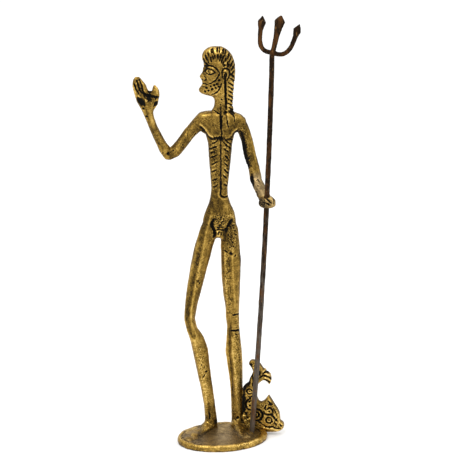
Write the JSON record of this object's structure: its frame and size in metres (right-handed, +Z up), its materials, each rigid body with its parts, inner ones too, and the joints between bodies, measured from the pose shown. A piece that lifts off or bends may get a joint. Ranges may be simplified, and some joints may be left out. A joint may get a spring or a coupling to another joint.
{
  "type": "sea god statue",
  "caption": "Slender cast brass sea god standing on an oval base, open hand raised, other fist round a tall iron trident, with a flat scroll-carved dolphin at the foot.",
  "frame": {"origin": "middle of the oval base's flat underside", "axes": "+Z up, the figure's chest faces -Y, its raised right hand is on the -X side and the trident on the +X side"},
  "size_m": [0.0981, 0.0424, 0.2618],
  "materials": {
    "brass": "antique golden brown, worn bright on the edges, near black in the cuts",
    "iron": "dark brown forged iron with a thin coat of rust"
  },
  "bodies": {
    "root": {"figure_on_base": "brass", "dolphin": "brass", "trident_shaft": "iron", "trident_fork": "iron"}
  },
  "joints": []
}
